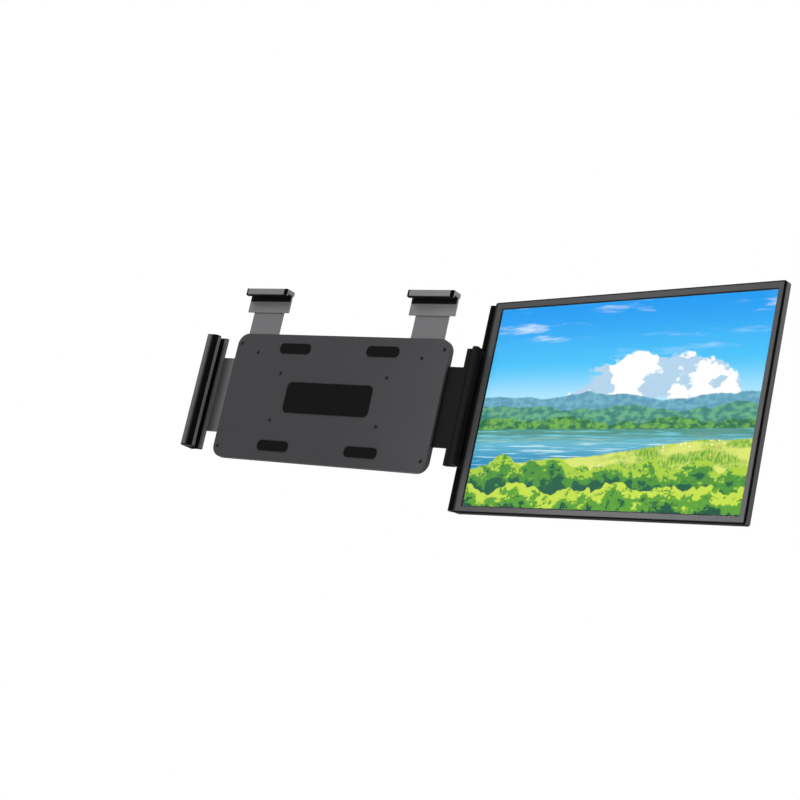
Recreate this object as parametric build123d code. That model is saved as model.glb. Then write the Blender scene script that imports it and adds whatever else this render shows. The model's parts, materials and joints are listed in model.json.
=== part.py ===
from build123d import *
from math import cos, radians, sin
import os

# Clip-on touchscreen monitor: a sliding bracket that hangs on the lid of a host computer,
# and one slim monitor on a vertical friction hinge at the bracket's right side.
# Millimetres. X points right as the user sees it, Y away from the user, Z up.
# The origin lies on the soft face that rests on the back of the host lid, midway between the hooks.

os.makedirs("parts", exist_ok=True)

# Host lid
lid_slot = 5.6              # thickest lid that the clips take
left_clear = 32.5           # from the housing to the left clip's liner, with the arm at rest
right_clear = 37.5          # from the housing to the right clip's liner
top_clear = 46.4            # from the housing to the hooks' liner, with the arms at rest

# Clips: a lip in front of the lid, a wall round its edge and a back wall
liner_thickness = 0.8
liner_lip_margin = 0.9      # strip of bare lip beyond the liner
liner_end_margin = 1.0
clip_outer_round = 2.2
clip_inner_round = 0.6
clip_end_round = 0.6

# Left clip
left_clip_length = 136.0
left_wall = 4.0
left_overlap = 11.2         # how far the lip reaches over the front of the lid
left_lip_thickness = 8.0
left_lip_round = 6.0
left_clip_back = 18.9       # depth of the back wall, from the clip's outer face
left_liner_back = 14.0

# Right clip
right_wall = 2.5
right_overlap = 2.6
right_lip_thickness = 2.4
right_lip_round = 0.9
right_clip_back = 18.9
right_liner_back = 14.0
right_clip_rear = 3.0
right_clip_round = 2.9      # clears the monitor's bezel when the monitor swings inward

# Hooks
hook_width = 61.5
hook_wall = 5.2
hook_overlap = 1.7
hook_lip_thickness = 4.8
hook_lip_round = 0.9
hook_corner = 3.0           # front corners, seen from above
hook_back = 26.0
hook_liner_back = 12.6

# Bracket housing
housing_width = 300.0
housing_height = 150.0
housing_corner = 14.0
housing_edge_round = 3.0
pad_thickness = 0.8
plate_thickness = 1.6
cover_wall = 1.8
spring_space = 2.3          # behind the side arm, for its leaf spring
slide_gap = 0.2
layer_gap = 0.3             # between the hook arms and the side arm, which cross
centre_pad = (120.0, 36.0, 6.0)
corner_pad = (44.0, 12.0, 5.0)
corner_pad_inset = (88.0, 17.0)
groove_count = 10
groove_margin = 50.0
groove_width = 1.6
groove_depth = 0.6
groove_pitch = 8.0
bumper_radius = 4.5
bumper_height = 2.0
bumper_seat = 0.5
bumper_inset = (25.0, 15.0)

# Sliding arms
arm_thickness = 1.8
arm_corner = 3.0
side_arm_clear = 30.0       # from a side arm to the housing's upper and lower edge
left_travel_out = 30.0
left_travel_in = 16.0
left_guide_inset = 75.0     # guide bosses of the left arm, in from the housing's side
guide_edge = 17.0           # guide bosses of the left arm, in from its upper and lower edge
hook_arm_width = 44.0
hook_side_gap = 12.15       # from a hook arm to the housing's side
hook_travel_up = 22.0
hook_travel_down = 18.0
hook_guide_clear = 4.0      # from the side arm to the guide bosses of the hook arms
guide_radius = 3.0
guide_gap = 0.3
slot_margin = 6.0           # metal left past the end of a guide slot
leaf_thickness = 0.4
leaf_width = 8.0
leaf_length = 36.0
leaf_gap = 0.1
hook_leaf_rise = 12.0       # leaf springs above the guide bosses of the hook arms
left_leaf_inset = 32.0
clip_screw_inset = 5.0
clip_screw_edge = 11.0      # outer clip screws, in from the arm's edge
hook_screw_edge = 7.0
blind_floor = 0.6           # plastic left in front of a clip screw

# Fixed right arm
right_arm_thickness = 2.5
right_arm_reach_in = 55.0   # tongue inside the housing
web_thickness = 4.5
web_angle = 65.0
tongue_screw_inset = 12.0
tongue_screw_edge = 15.0
tongue_boss_wall = 1.0

# Monitor hinge
rest_turn = 11.4            # the monitor is turned this far towards the user
hinge_inset = 1.5           # hinge axis, in from the right clip's liner
fold_gap = 2.85             # between the folded monitor and the bracket's rear face
spine_length = 51.0         # casing past the hinge, the mean of its upper and lower end
knuckle_length = 10.7
knuckle_gap = 0.3
barrel_radius = 5.5
shaft_radius = 2.5
shaft_gap = 0.05
shaft_recess = 0.5          # end of a shaft below the knuckle's face
sleeve_wall = 0.85
sleeve_length = 28.0
bore_end_gap = 1.0
leaf_plate_thickness = 1.6
leaf_plate_width = 37.0
leaf_plate_height = 42.0
leaf_wall_gap = 0.4
leaf_screw_edge = 7.4       # outer leaf screws, in from the plate's far edge
leaf_screw_near = 11.6      # inner leaf screw, in from the plate's near edge
leaf_screw_rise = 10.0
leaf_screw_floor = 0.5      # plastic left behind a leaf screw

# Display
display_width = 344.7
display_height = 215.4
display_lift = 3.6          # middle of the display above the middle of the hinge
display_margin = 1.2        # dark glass that shows round the picture

# Monitor casing
axis_to_display = 18.2
axis_depth = 7.0            # hinge axis behind the front face
case_depth = 10.0
bezel_left = 12.0
bezel_right = 7.8
bezel_top = 8.6
bezel_bottom = 8.0
bezel_thickness = 1.6
bezel_edge_round = 1.2
case_corner = 2.4
inner_corner = 0.3
opening_corner = 1.0
shadow_gap = 0.8            # groove between the bezel and the rear shell
shell_wall = 1.6
shell_back_wall = 1.8
shell_edge_round = 1.8
tongue_gap = 0.2
tongue_thickness = 1.2
tongue_depth = 2.2
boss_wall = 1.4
post_wall = 1.2
post_screw_grip = 2.0
shell_screw_clear = 10.3    # from a hinge knuckle to the nearest shell screw
rib_columns = 5
rib_row_spacing = 54.0
rib_thickness = 1.2
rib_margin = 16.0           # first and last rib, from the main board and the shell's wall
rib_gap = 1.0               # between the ribs and the panel tray

# Panel stack
glass_recess = 0.35
glass_thickness = 0.9
glass_gap = 0.15
gasket_inner = 0.3
gasket_outer = 1.0
cell_front = 1.7            # front of the cell, behind the bezel's front face
cell_thickness = 0.6
film_thickness = 0.3
guide_thickness = 1.2
sheet_gap = 0.06
cell_margin = 2.6
sheet_margin = 2.0
tray_margin = 3.3
tray_sheet = 0.4
light_bar_height = 1.8
light_bar_drop = 0.8

# Main board: a chip's middle, in from the board's right and down from its top, then its width and height
board_thickness = 1.0
board_behind_tray = 0.95
main_board_x = (46.0, 118.0)
main_board_top = 0.0
board_edge_gap = 0.6
board_screw_edge = 3.5
board_screw_rise = 14.0     # lower board screws, above the sockets
board_screw_grip = 1.6
chip_height = 0.8
scaler_chip = (17.0, 37.0, 14.0, 14.0)
power_chip = (19.0, 60.0, 10.0, 8.0)
memory_chip = (56.0, 17.0, 12.0, 10.0)
panel_connector = (9.0, 60.0, 6.0, 20.0)
connector_height = 0.6
shield_area = (43.0, 52.0, 30.0, 28.0)
shield_height = 1.2
shield_sheet = 0.2

# Sockets
usb_width = 8.94
usb_height = 3.2
usb_x = (56.0, 72.0)
hdmi_width = 11.2
hdmi_x = 92.0
hdmi_chamfer = 1.5
hdmi_corner = 0.3
socket_depth = 7.4
socket_sheet = 0.3
socket_floor = 1.2
socket_setback = 0.5
socket_behind_board = 0.35  # middle of a socket, behind the middle of the board
socket_cut_gap = 0.2
contact_thickness = 0.7
contact_side_gap = 1.6
contact_setback = 0.8
port_gap = 0.25

# Button board and ribbons
button_board_x = (46.0, 108.0)
button_board_height = 12.0
button_board_drop = 2.0     # top of the button board, below the top of its switches
switch_size = 4.4
switch_chamfer = 0.5
switch_wall_gap = 0.3
ribbon_thickness = 0.15
panel_ribbon_margin = 2.0   # connector beyond the ribbon's edges
panel_ribbon_lead = (5.0, 1.0, 5.0, 6.0)    # on the board, past its edge, bend, on the tray
touch_ribbon_width = 10.0
touch_ribbon_inset = 4.0
touch_ribbon_rise = 10.0
button_ribbon_width = 6.0
button_ribbon_inset = 8.0
button_ribbon_overlap = 6.0

# Buttons
button_x = (56.0, 78.0, 96.0)
button_length = (14.0, 10.0, 10.0)
button_width = 2.6
button_proud = 0.9
button_travel = 0.5
button_gap = 0.2
button_flange = 0.4
button_flange_thickness = 0.8
button_stem = 1.6
switch_gap = 0.6

# Screws: head radius, head height, shank radius
case_screw = (2.4, 1.1, 1.25)
arm_screw = (2.2, 1.0, 1.0)
board_screw = (1.7, 0.6, 0.8)
screw_gap = 0.05
screw_tip_gap = 0.9

# Layers of the bracket, front to rear
plate_front = pad_thickness
plate_rear = plate_front + plate_thickness
hook_arm_front = plate_rear + slide_gap
hook_arm_rear = hook_arm_front + arm_thickness
side_arm_front = hook_arm_rear + layer_gap
side_arm_rear = side_arm_front + arm_thickness
right_arm_rear = side_arm_front + right_arm_thickness
cover_inner = side_arm_rear + spring_space
cover_rear = cover_inner + cover_wall

# Clip planes
lip_rear = -(lid_slot + liner_thickness)
half_width = housing_width / 2
half_height = housing_height / 2
left_face = -(half_width + left_clear + liner_thickness + left_wall)
right_face = half_width + right_clear + liner_thickness + right_wall
hook_top = half_height + top_clear + liner_thickness + hook_wall
hook_middle = half_width - hook_side_gap - hook_arm_width / 2
half_arm = half_height - side_arm_clear
blind_end = liner_thickness + blind_floor

# Places in the bracket
left_guide_x = half_width - left_guide_inset
left_guide_z = half_arm - guide_edge
hook_guide_z = half_arm + guide_radius + hook_guide_clear
corner_boss_x = half_width - (cover_wall + hook_side_gap) / 2
corner_boss_z = (half_height - cover_wall + hook_guide_z) / 2
tongue_end = half_width - right_arm_reach_in
tongue_boss_radius = guide_radius + tongue_boss_wall
case_screw_length = cover_inner - plate_front - screw_tip_gap
tongue_screw_length = cover_rear - side_arm_front - screw_tip_gap
left_screw_length = side_arm_rear - blind_end - screw_gap
hook_screw_length = hook_arm_rear - blind_end - screw_gap

# Hinge axis in the bracket's frame
hinge_x = half_width + right_clear - hinge_inset
hinge_y = cover_rear + fold_gap + case_depth - axis_depth
hinge_length = display_height + bezel_top + bezel_bottom - 2 * spine_length
knuckle_low = hinge_length / 2 - knuckle_length
barrel_half = knuckle_low - knuckle_gap
bore_radius = shaft_radius + shaft_gap + sleeve_wall
bore_floor = barrel_half - sleeve_length - bore_end_gap

# Monitor planes, in a frame whose Z axis is the hinge axis
front_y = -axis_depth
bezel_rear_y = front_y + bezel_thickness
rim_y = bezel_rear_y + shadow_gap
back_y = case_depth - axis_depth
inner_back_y = back_y - shell_back_wall
display_left = axis_to_display
display_right = display_left + display_width
display_bottom = display_lift - display_height / 2
display_top = display_lift + display_height / 2
case_left = display_left - bezel_left
case_right = display_right + bezel_right
case_bottom = display_bottom - bezel_bottom
case_top = display_top + bezel_top
tongue_inset = shell_wall + tongue_gap
glass_front_y = front_y + glass_recess
glass_rear_y = glass_front_y + glass_thickness
cell_y = front_y + cell_front
film_y = cell_y + cell_thickness + sheet_gap
guide_y = film_y + film_thickness + sheet_gap
tray_floor_y = guide_y + guide_thickness + sheet_gap
tray_rear_y = tray_floor_y + tray_sheet
board_y = tray_rear_y + board_behind_tray
board_rear_y = board_y + board_thickness
board_low = case_bottom + shell_wall + board_edge_gap
socket_low = case_bottom + socket_setback
socket_high = socket_low + socket_depth
socket_y = board_y + board_thickness / 2 + socket_behind_board
button_y = inner_back_y - button_width / 2 - button_flange - button_gap
flange_low = case_top - shell_wall - button_flange_thickness - screw_gap
switch_top = flange_low - button_stem - switch_gap - button_travel
switch_rear_y = inner_back_y - switch_wall_gap
button_board_top = switch_top - button_board_drop
leaf_rear_y = inner_back_y - screw_gap
leaf_front_y = leaf_rear_y - leaf_plate_thickness
leaf_near_x = case_left + shell_wall + leaf_wall_gap
leaf_screw_length = leaf_plate_thickness + shell_back_wall - leaf_screw_floor
board_screw_length = board_thickness + board_screw_grip
post_end_y = tray_rear_y
shell_screw_x = (case_left + tongue_inset + tongue_thickness + display_left - tray_margin) / 2
shell_screw_length = back_y - post_end_y + post_screw_grip

monitor_place = Location((hinge_x, hinge_y, 0), (0, 0, -rest_turn))


# Helpers


def block(x, y, z):
    """Box between three (low, high) pairs."""
    size = Box(x[1] - x[0], y[1] - y[0], z[1] - z[0])
    return Pos((x[0] + x[1]) / 2, (y[0] + y[1]) / 2, (z[0] + z[1]) / 2) * size


def plate(outline, y_front, y_rear):
    """Flat piece with an outline drawn in X and Z."""
    return extrude(Plane.XZ.offset(-y_rear) * outline, y_rear - y_front, dir=(0, -1, 0))


def column(section, z_low, z_high):
    """Straight piece along Z with a section drawn in X and Y."""
    return extrude(Pos(0, 0, z_low) * section, z_high - z_low, dir=(0, 0, 1))


def beam(section, x_low, x_high):
    """Straight piece along X with a section drawn in Y and Z."""
    return extrude(Plane.YZ.offset(x_low) * section, x_high - x_low, dir=(1, 0, 0))


def rods(radius, places, y_front, y_rear):
    """Round bars along Y at several (x, z) places."""
    return [plate(Pos(x, z) * Circle(radius), y_front, y_rear) for x, z in places]


def placed(piece, places, y):
    """Copies of one piece at several (x, z) places."""
    return [Pos(x, y, z) * piece for x, z in places]


def rounded(x, z, radius):
    """Rounded rectangle between two (low, high) pairs."""
    middle = Pos((x[0] + x[1]) / 2, (z[0] + z[1]) / 2)
    return middle * RectangleRounded(x[1] - x[0], z[1] - z[0], radius)


def drawn(points, radii):
    """Closed outline with one corner radius for each point."""
    return make_face(FilletPolyline(*points, radius=radii, close=True))


def around_display(margin, y_front, y_rear, corner):
    """Sheet that passes the picture by a margin on every side."""
    x = (display_left - margin, display_right + margin)
    z = (display_bottom - margin, display_top + margin)
    return plate(rounded(x, z, corner), y_front, y_rear)


def countersunk(kind, length):
    """Flat-headed screw along +Y with its head's face at the origin."""
    head, height, shank = kind
    outline = Polyline((0, 0), (head, 0), (shank, height), (shank, length), (0, length), close=True)
    return revolve(make_face(outline), Axis.Y)


def pan_head(kind, length):
    """Screw along +Y with its head standing in front of the origin."""
    head, height, shank = kind
    corners = ((0, -height), (head, -height), (head, 0), (shank, 0), (shank, length), (0, length))
    return revolve(make_face(Polyline(*corners, close=True)), Axis.Y)


def countersink(kind, length):
    """Hole that a countersunk screw sits in."""
    head, height, shank = kind
    return countersunk((head + screw_gap, height, shank + screw_gap), length)


def from_rear(screw):
    """A screw or its hole, turned to point along -Y."""
    return Rot(0, 0, 180) * screw


def pilot(kind):
    """Radius of the hole for a screw's shank."""
    return kind[2] + screw_gap


def mirrored(x, z):
    """The four places of a pattern that is alike left and right, above and below."""
    return [(side * x, level * z) for side in (-1, 1) for level in (-1, 1)]


def save(name, *solids):
    """Write one named piece, or a group of alike pieces, as one file."""
    flat = [solid for item in solids for solid in item.solids()]
    shape = flat[0] if len(flat) == 1 else Compound(children=flat)
    export_step(shape, f"parts/{name}.step")


# Screw and boss places

case_bosses = mirrored(corner_boss_x, corner_boss_z) + mirrored(left_guide_x, left_guide_z)
case_bosses += [(side * hook_middle, hook_guide_z) for side in (-1, 1)]
tongue_screws = [
    (x, side * (half_arm - tongue_screw_edge))
    for x in (tongue_end + tongue_screw_inset, half_width - tongue_screw_inset)
    for side in (-1, 1)
]
left_clip_screws = [
    (left_face + left_clip_back - clip_screw_inset, level * (half_arm - clip_screw_edge))
    for level in (-1, 0, 1)
]
bumper_places = mirrored(half_width - bumper_inset[0], half_height - bumper_inset[1])
shell_screws = [(shell_screw_x, level * (knuckle_low - shell_screw_clear)) for level in (-1, 0, 1)]
board_screws = [
    (x, z)
    for x in (main_board_x[0] + board_screw_edge, main_board_x[1] - board_screw_edge)
    for z in (board_low + board_screw_rise, main_board_top - board_screw_edge)
]


def hook_screws(side):
    apart = hook_arm_width / 2 - hook_screw_edge
    z = hook_top - hook_back + clip_screw_inset
    return [(side * hook_middle + shift, z) for shift in (-apart, apart)]


def leaf_screws(side):
    near = leaf_near_x + leaf_screw_near
    far = leaf_near_x + leaf_plate_width - leaf_screw_edge
    low = knuckle_low + leaf_screw_rise
    high = knuckle_low + leaf_plate_height - leaf_screw_rise
    return [(near, side * high), (far, side * high), (far, side * low)]


# Clip sections: a is measured inward from the clip's outer face, b is Y


def on_left(a, b):
    return left_face + a, b


def on_right(a, b):
    return right_face - a, b


def on_top(a, b):
    return b, hook_top - a


def lip_reach(wall, overlap):
    return wall + liner_thickness + overlap


def clip_section(wall, lip, thickness, lip_round, back, arm_front, arm_rear, place):
    """Hook round the edge of the lid, with a rebate behind it for the end of an arm."""
    front = lip_rear - thickness
    corners = [
        (0, front), (lip, front), (lip, lip_rear), (wall, lip_rear), (wall, liner_thickness),
        (back, liner_thickness), (back, arm_front), (wall, arm_front), (wall, arm_rear), (0, arm_rear),
    ]
    radii = [clip_outer_round, lip_round, clip_inner_round, 0, 0, 0, 0, 0, 0, clip_inner_round]
    return drawn([place(a, b) for a, b in corners], radii)


def liner_section(wall, lip, back, place):
    """Rubber lining that ends short of the lip's edge."""
    inner = wall + liner_thickness
    tip = lip - liner_lip_margin
    corners = [
        (tip, lip_rear), (tip, -lid_slot), (inner, -lid_slot), (inner, 0),
        (back, 0), (back, liner_thickness), (wall, liner_thickness), (wall, lip_rear),
    ]
    return drawn([place(a, b) for a, b in corners], [0] * len(corners))


def wrapped_liner_section(wall, lip, thickness, lip_round, back, place):
    """Rubber lining that also wraps the lip's edge."""
    inner = wall + liner_thickness
    tip = lip + liner_thickness
    start = lip_rear - thickness + lip_round
    corners = [
        (lip, start), (tip, start), (tip, -lid_slot), (inner, -lid_slot), (inner, 0),
        (back, 0), (back, liner_thickness), (wall, liner_thickness), (wall, lip_rear), (lip, lip_rear),
    ]
    radii = [0] * (len(corners) - 1) + [clip_inner_round]
    return drawn([place(a, b) for a, b in corners], radii)


def round_ends(piece, axis):
    """Ease the edges of a clip's two end faces."""
    ends = piece.faces().sort_by(axis)
    return fillet(ends[0].edges() + ends[-1].edges(), clip_end_round)


# Bracket housing


def front_plate():
    outline = RectangleRounded(housing_width, housing_height, housing_corner)
    sheet = plate(outline, plate_front, plate_rear)
    front_edges = sheet.faces().sort_by(Axis.Y)[0].edges()
    sheet = chamfer(front_edges, plate_thickness / 3)
    return sheet - placed(countersink(case_screw, case_screw_length), case_bosses, plate_front)


def rear_cover():
    outline = RectangleRounded(housing_width, housing_height, housing_corner)
    inner = RectangleRounded(
        housing_width - 2 * cover_wall, housing_height - 2 * cover_wall, housing_corner - cover_wall
    )
    cover = plate(outline, plate_rear, cover_rear)
    cover = fillet(cover.faces().sort_by(Axis.Y)[-1].edges(), housing_edge_round)
    cover -= plate(inner, plate_rear, cover_inner)
    cover += rods(guide_radius, case_bosses, plate_rear, cover_inner)
    cover += rods(tongue_boss_radius, tongue_screws, right_arm_rear, cover_inner)
    cover -= arm_openings()
    cover -= rods(pilot(case_screw), case_bosses, plate_rear, plate_front + case_screw_length + screw_gap)
    tip = side_arm_front + tongue_screw_length + screw_gap
    cover -= rods(pilot(arm_screw), tongue_screws, right_arm_rear, tip)
    first = -(groove_count - 1) / 2 * groove_pitch
    groove = SlotOverall(housing_width - 2 * groove_margin, groove_width)
    for number in range(groove_count):
        cover -= plate(Pos(0, first + number * groove_pitch) * groove, cover_rear - groove_depth, cover_rear)
    return cover - rods(bumper_radius, bumper_places, cover_rear - bumper_seat, cover_rear)


def arm_openings():
    """Gaps in the cover's rim for the two hook arms, the left arm and the right arm."""
    inside = half_width - 2 * cover_wall
    past = half_width + cover_wall
    slot_half = hook_arm_width / 2 + guide_gap
    top = (half_height - 2 * cover_wall, half_height + cover_wall)
    openings = []
    for side in (-1, 1):
        x = (side * hook_middle - slot_half, side * hook_middle + slot_half)
        openings.append(block(x, (plate_rear, hook_arm_rear + slide_gap), top))
    z = (-half_arm - guide_gap, half_arm + guide_gap)
    front = side_arm_front - slide_gap
    openings.append(block((-past, -inside), (front, side_arm_rear + slide_gap), z))
    openings.append(block((inside, past), (front, right_arm_rear + slide_gap), z))
    return openings


def bumper():
    dome = rods(bumper_radius - screw_gap, [(0, 0)], -bumper_seat, bumper_height)[0]
    return fillet(dome.edges().sort_by(Axis.Y)[-1], bumper_height / 2)


def rest_pads():
    pads = [(0, 0, centre_pad)]
    corners = mirrored(half_width - corner_pad_inset[0], half_height - corner_pad_inset[1])
    pads += [(x, z, corner_pad) for x, z in corners]
    return [plate(Pos(x, z) * RectangleRounded(*size), 0, pad_thickness) for x, z, size in pads]


def leaf_spring(y_front, y_rear, x, z):
    """Arched strip that presses on an arm with its crown."""
    half = leaf_length / 2
    crown = y_front + leaf_gap
    foot = y_rear - leaf_thickness
    arch = ThreePointArc((x - half, foot), (x, crown), (x + half, foot))
    back = ThreePointArc((x + half, y_rear), (x, crown + leaf_thickness), (x - half, y_rear))
    strip = make_face([arch, Line(arch @ 1, back @ 0), back, Line(back @ 1, arch @ 0)])
    return column(strip, z - leaf_width / 2, z + leaf_width / 2)


# Left slide

left_lip = lip_reach(left_wall, left_overlap)


def left_clip():
    section = clip_section(
        left_wall, left_lip, left_lip_thickness, left_lip_round,
        left_clip_back, side_arm_front, side_arm_rear, on_left,
    )
    clip = round_ends(column(section, -left_clip_length / 2, left_clip_length / 2), Axis.Z)
    return clip - rods(pilot(arm_screw), left_clip_screws, blind_end, side_arm_front)


def left_liner():
    half = left_clip_length / 2 - liner_end_margin
    return column(liner_section(left_wall, left_lip, left_liner_back, on_left), -half, half)


def left_arm():
    inner_end = -left_guide_x + left_travel_out + guide_radius + guide_gap + slot_margin
    outline = rounded((left_face + left_wall, inner_end), (-half_arm, half_arm), arm_corner)
    travel = left_travel_out + left_travel_in
    middle = -left_guide_x + (left_travel_out - left_travel_in) / 2
    slot_width = 2 * (guide_radius + guide_gap)
    slot = SlotOverall(travel + slot_width, slot_width)
    for z in (-left_guide_z, left_guide_z):
        outline -= Pos(middle, z) * slot
    arm = plate(outline, side_arm_front, side_arm_rear)
    sink = from_rear(countersink(arm_screw, left_screw_length))
    return arm - placed(sink, left_clip_screws, side_arm_rear)


# Hook slides

hook_lip = lip_reach(hook_wall, hook_overlap)


def hook_clip(side):
    section = clip_section(
        hook_wall, hook_lip, hook_lip_thickness, hook_lip_round,
        hook_back, hook_arm_front, hook_arm_rear, on_top,
    )
    left = side * hook_middle - hook_width / 2
    right = left + hook_width
    front = lip_rear - hook_lip_thickness
    clip = round_ends(beam(section, left, right), Axis.X)
    from_above = drawn(
        [(left, front), (right, front), (right, hook_arm_rear), (left, hook_arm_rear)],
        [hook_corner, hook_corner, clip_end_round, clip_end_round],
    )
    clip &= column(from_above, hook_top - hook_back, hook_top)
    return clip - rods(pilot(arm_screw), hook_screws(side), blind_end, hook_arm_front)


def hook_liner(side):
    section = wrapped_liner_section(
        hook_wall, hook_lip, hook_lip_thickness, hook_lip_round, hook_liner_back, on_top
    )
    half = hook_width / 2 - liner_end_margin
    return beam(section, side * hook_middle - half, side * hook_middle + half)


def hook_arm(side):
    middle = side * hook_middle
    slot_width = 2 * (guide_radius + guide_gap)
    slot_length = hook_travel_up + hook_travel_down + slot_width
    slot_low = hook_guide_z - hook_travel_up - slot_width / 2
    x = (middle - hook_arm_width / 2, middle + hook_arm_width / 2)
    outline = rounded(x, (slot_low - slot_margin, hook_top - hook_wall), arm_corner)
    outline -= Pos(middle, slot_low + slot_length / 2) * Rot(0, 0, 90) * SlotOverall(slot_length, slot_width)
    arm = plate(outline, hook_arm_front, hook_arm_rear)
    sink = from_rear(countersink(arm_screw, hook_screw_length))
    return arm - placed(sink, hook_screws(side), hook_arm_rear)


# Fixed right arm with the hinge barrel

right_lip = lip_reach(right_wall, right_overlap)


def right_arm():
    front = lip_rear - right_lip_thickness
    corners = [
        (0, front), (right_lip, front), (right_lip, lip_rear), (right_wall, lip_rear),
        (right_wall, liner_thickness), (right_clip_back, liner_thickness),
        (right_clip_back, right_clip_rear), (0, right_clip_rear),
    ]
    radii = [clip_outer_round, right_lip_round, clip_inner_round, 0, 0, 0, 0, right_clip_round]
    half = hinge_length / 2
    section = drawn([on_right(a, b) for a, b in corners], radii)
    arm = round_ends(column(section, -half, half), Axis.Z)
    lean_x = cos(radians(web_angle))
    lean_y = sin(radians(web_angle))
    rise = hinge_y - right_arm_rear
    run = rise / lean_y + web_thickness
    root_right = hinge_x - rise * lean_x / lean_y + web_thickness / 2
    root_z = (clip_end_round - half, half - clip_end_round)
    arm += block((right_face - right_clip_back, root_right), (liner_thickness, right_arm_rear), root_z)
    tongue = rounded((tongue_end, root_right - clip_end_round), (-half_arm, half_arm), arm_corner)
    arm += plate(tongue, side_arm_front, right_arm_rear)
    web_middle = Pos(hinge_x - run / 2 * lean_x, hinge_y - run / 2 * lean_y)
    web = web_middle * Rot(0, 0, web_angle) * Rectangle(run, web_thickness)
    arm += column(web, -barrel_half, barrel_half)
    axis = Pos(hinge_x, hinge_y)
    arm += column(axis * Circle(barrel_radius), -barrel_half, barrel_half)
    for low, high in ((bore_floor, barrel_half), (-barrel_half, -bore_floor)):
        arm -= column(axis * Circle(bore_radius), low, high)
    return arm - placed(countersink(arm_screw, tongue_screw_length), tongue_screws, side_arm_front)


def right_liner():
    section = wrapped_liner_section(
        right_wall, right_lip, right_lip_thickness, right_lip_round, right_liner_back, on_right
    )
    half = hinge_length / 2 - liner_end_margin
    return column(section, -half, half)


def friction_sleeve(side):
    """Split ring that grips a hinge shaft."""
    ring = Circle(bore_radius) - Circle(shaft_radius + shaft_gap)
    ring -= Pos(bore_radius, 0) * Rectangle(4 * sleeve_wall, sleeve_wall)
    low = barrel_half - sleeve_length
    ends = sorted((side * low, side * barrel_half))
    return column(Pos(hinge_x, hinge_y) * ring, *ends)


# Monitor casing, in the hinge's frame


def case_outline(inset):
    """Outline of the monitor, drawn in on every side."""
    x = (case_left + inset, case_right - inset)
    z = (case_bottom + inset, case_top - inset)
    return rounded(x, z, max(case_corner - inset, inner_corner))


def spine():
    """Round back beside the hinge axis that carries on the line of the hinge barrel."""
    width = case_left + case_corner
    section = Circle(barrel_radius)
    section += Pos(width / 2, (rim_y + back_y) / 2) * Rectangle(width, back_y - rim_y)
    inner_end = hinge_length / 2 + knuckle_gap
    outer_high = case_top - case_corner
    outer_low = case_bottom + case_corner
    return [column(section, inner_end, outer_high), column(section, outer_low, -inner_end)]


def back_ribs():
    """Stiffening ribs on the inside of the back, clear of the boards."""
    first = main_board_x[1] + rib_margin
    last = case_right - shell_wall - rib_margin
    y = (tray_rear_y + rib_gap, inner_back_y)
    half = rib_thickness / 2
    ribs = []
    for number in range(rib_columns):
        x = first + number * (last - first) / (rib_columns - 1)
        ribs.append(block((x - half, x + half), y, (case_bottom + shell_wall, case_top - shell_wall)))
    for level in (-1, 0, 1):
        z = display_lift + level * rib_row_spacing
        ribs.append(block((first, last), y, (z - half, z + half)))
    return ribs


def port_openings():
    outlines = [Pos(x, socket_y) * usb_outline() for x in usb_x]
    outlines.append(Pos(hdmi_x, socket_y) * hdmi_outline())
    return [
        column(offset(outline, port_gap), case_bottom - shell_wall, case_bottom + 2 * shell_wall)
        for outline in outlines
    ]


def button_openings():
    openings = []
    for x, length in zip(button_x, button_length):
        slot = SlotOverall(length + 2 * button_gap, button_width + 2 * button_gap)
        openings.append(column(Pos(x, button_y) * slot, case_top - 2 * shell_wall, case_top + shell_wall))
    return openings


def rear_shell():
    body = plate(case_outline(0), rim_y, back_y)
    body = fillet(body.faces().sort_by(Axis.Y)[-1].edges(), shell_edge_round)
    body += spine()
    body -= plate(case_outline(shell_wall), rim_y, inner_back_y)
    body += back_ribs()
    passage = (case_left - shell_wall, leaf_near_x)
    for side in (-1, 1):
        z = sorted((side * barrel_half, side * (hinge_length / 2 + knuckle_gap)))
        body -= block(passage, (leaf_front_y - screw_gap, inner_back_y), z)
    body += rods(board_screw[2] + boss_wall, board_screws, board_rear_y, inner_back_y)
    body += rods(arm_screw[2] + boss_wall, shell_screws, post_end_y, inner_back_y)
    tip = board_y + board_screw_length + screw_gap
    body -= rods(pilot(board_screw), board_screws, board_rear_y, tip)
    tip = leaf_front_y + leaf_screw_length + screw_gap
    body -= rods(pilot(board_screw), leaf_screws(1) + leaf_screws(-1), leaf_rear_y, tip)
    body -= placed(from_rear(countersink(arm_screw, shell_screw_length)), shell_screws, back_y)
    body -= port_openings()
    return body - button_openings()


def front_bezel():
    frame = plate(case_outline(0), front_y, bezel_rear_y)
    frame = fillet(frame.faces().sort_by(Axis.Y)[0].edges(), bezel_edge_round)
    frame -= around_display(display_margin, front_y, bezel_rear_y, opening_corner)
    tongue = case_outline(tongue_inset) - case_outline(tongue_inset + tongue_thickness)
    frame += plate(tongue, bezel_rear_y, bezel_rear_y + tongue_depth)
    frame += rods(arm_screw[2] + post_wall, shell_screws, bezel_rear_y, post_end_y)
    hole_front = post_end_y - post_screw_grip - screw_gap
    return frame - rods(pilot(arm_screw), shell_screws, hole_front, post_end_y)


# Panel stack


def cover_glass():
    corner = opening_corner - glass_gap
    return around_display(display_margin - glass_gap, glass_front_y, glass_rear_y, corner)


def glass_gasket():
    ring = around_display(gasket_outer, glass_rear_y, cell_y, opening_corner)
    return ring - around_display(gasket_inner, glass_rear_y, cell_y, opening_corner / 2)


def panel_tray():
    tray = around_display(tray_margin, cell_y, tray_rear_y, opening_corner)
    return tray - around_display(tray_margin - tray_sheet, cell_y, tray_floor_y, opening_corner / 2)


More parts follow.
